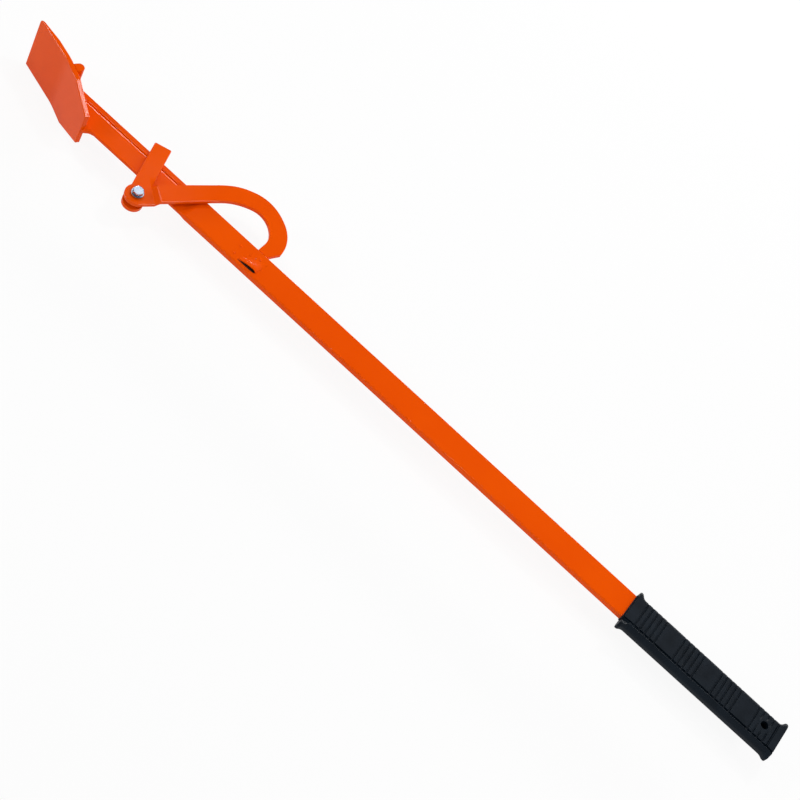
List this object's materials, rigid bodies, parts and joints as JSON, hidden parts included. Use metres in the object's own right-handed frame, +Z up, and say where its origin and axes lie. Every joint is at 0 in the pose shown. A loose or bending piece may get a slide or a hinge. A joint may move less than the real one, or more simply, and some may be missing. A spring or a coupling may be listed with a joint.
{
  "type": "felling lever",
  "caption": "Painted steel felling lever: bent spade blade with heel bar, flat bar and tube, turning hook on a bolt beside the bar, ribbed rubber grip with hanging hole",
  "frame": {"origin": "bottom centre of the bounding box, with the lever lying on its side", "axes": "+X runs along the lever from the blade to the grip, +Y is the side that the hook curves to, +Z is up, along the pivot bolt and towards its head"},
  "size_m": [1.305, 0.1554, 0.092],
  "materials": {
    "paint": "gloss orange enamel on steel",
    "zinc": "bright zinc plate on steel",
    "rubber": "satin moulded black rubber"
  },
  "bodies": {
    "lever": {"blade": "paint", "heel_bar": "paint", "blade_welds": "paint", "upper_bar": "paint", "main_tube": "paint", "mouth_welds": "paint", "pivot_plate": "paint", "pivot_plate_welds": "paint", "catch_plate": "paint", "catch_welds": "paint", "pivot_bolt": "zinc", "pivot_bush": "zinc", "spacer_ring": "zinc", "front_washer": "zinc", "back_washer": "zinc", "lock_nut": "zinc", "grip": "rubber"},
    "hook": {"turning_hook": "paint"}
  },
  "joints": [
    {"name": "hook_pivot", "type": "hinge", "parent": "lever", "child": "hook", "pos_m": [-0.40558, -0.06067, 0.0518], "axis": [0, 0, 1], "range_deg": [0, 100]}
  ]
}
